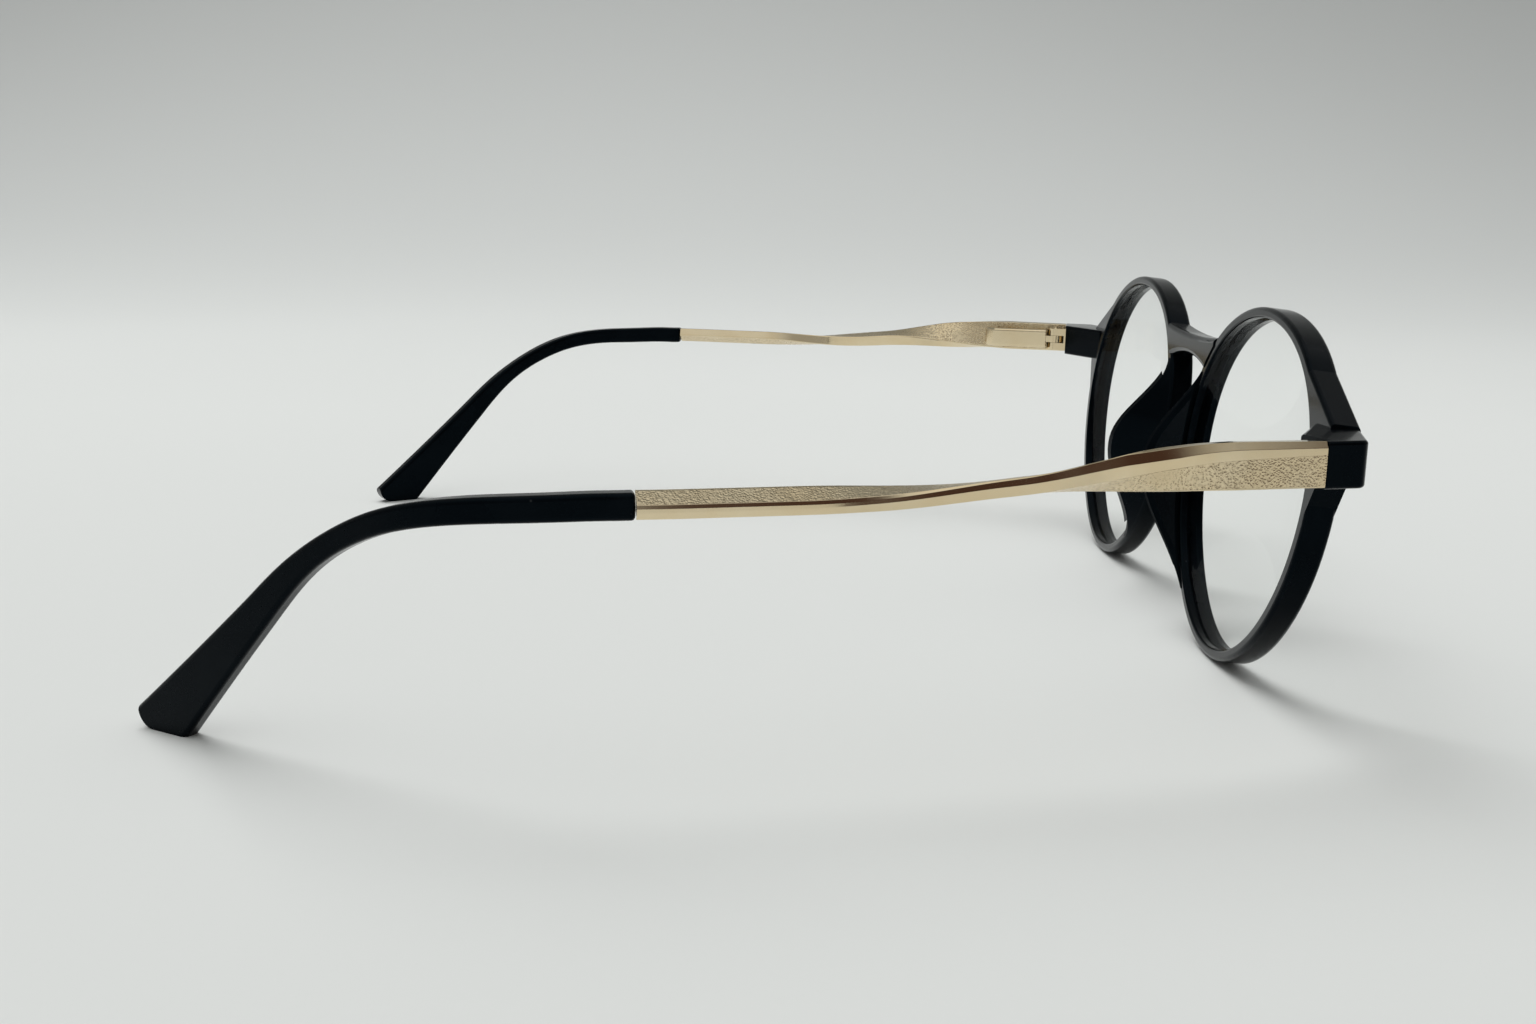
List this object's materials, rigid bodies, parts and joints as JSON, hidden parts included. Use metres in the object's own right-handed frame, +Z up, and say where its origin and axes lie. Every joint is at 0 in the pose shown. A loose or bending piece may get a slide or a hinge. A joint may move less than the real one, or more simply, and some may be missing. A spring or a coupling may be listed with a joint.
{
  "type": "round wire eyeglasses",
  "caption": "Round eyeglasses with a moulded front, clear lenses and twisted metal temples on sprung folding hinges.",
  "frame": {"origin": "middle of the open glasses, on the surface they stand on", "axes": "+X towards the wearer's left, +Y rearward along the open temples, +Z up"},
  "size_m": [0.1774, 0.1411, 0.0476],
  "materials": {
    "black_plastic": "gloss black moulding",
    "gold_metal": "pale champagne plating, finely stippled faces with bright bevels",
    "steel": "plain steel",
    "clear_lens": "clear, uncoated"
  },
  "bodies": {
    "front": {"front_frame": "black_plastic", "lens_left": "clear_lens", "lens_right": "clear_lens", "hinge_leaf_left": "gold_metal", "hinge_leaf_right": "gold_metal", "hinge_screw_left": "gold_metal", "hinge_screw_right": "gold_metal"},
    "slider_left": {"hinge_slider_left": "gold_metal", "rod_nut_left": "steel", "hinge_spring_left": "steel"},
    "slider_right": {"hinge_slider_right": "gold_metal", "rod_nut_right": "steel", "hinge_spring_right": "steel"},
    "temple_left": {"temple_left": "gold_metal", "temple_tip_left": "black_plastic", "spring_box_left": "gold_metal", "spring_guide_left": "steel"},
    "temple_right": {"temple_right": "gold_metal", "temple_tip_right": "black_plastic", "spring_box_right": "gold_metal", "spring_guide_right": "steel"}
  },
  "joints": [
    {"name": "temple_fold_left", "type": "hinge", "parent": "front", "child": "slider_left", "pos_m": [0.06807, -0.05945, 0.0334], "axis": [0, 0, 1], "range_deg": [0, 91]},
    {"name": "temple_fold_right", "type": "hinge", "parent": "front", "child": "slider_right", "pos_m": [-0.06807, -0.05945, 0.0334], "axis": [0, 0, -1], "range_deg": [0, 79]},
    {"name": "temple_spring_left", "type": "slide", "parent": "slider_left", "child": "temple_left", "axis": [0.2181, 0.9759, 0], "range_m": [0, 0.0015], "stiffness_N_per_m": 800, "springref_m": -0.0015, "deforming": ["hinge_spring_left"]},
    {"name": "temple_spring_right", "type": "slide", "parent": "slider_right", "child": "temple_right", "axis": [-0.2181, 0.9759, 0], "range_m": [0, 0.0015], "stiffness_N_per_m": 800, "springref_m": -0.0015, "deforming": ["hinge_spring_right"]}
  ]
}
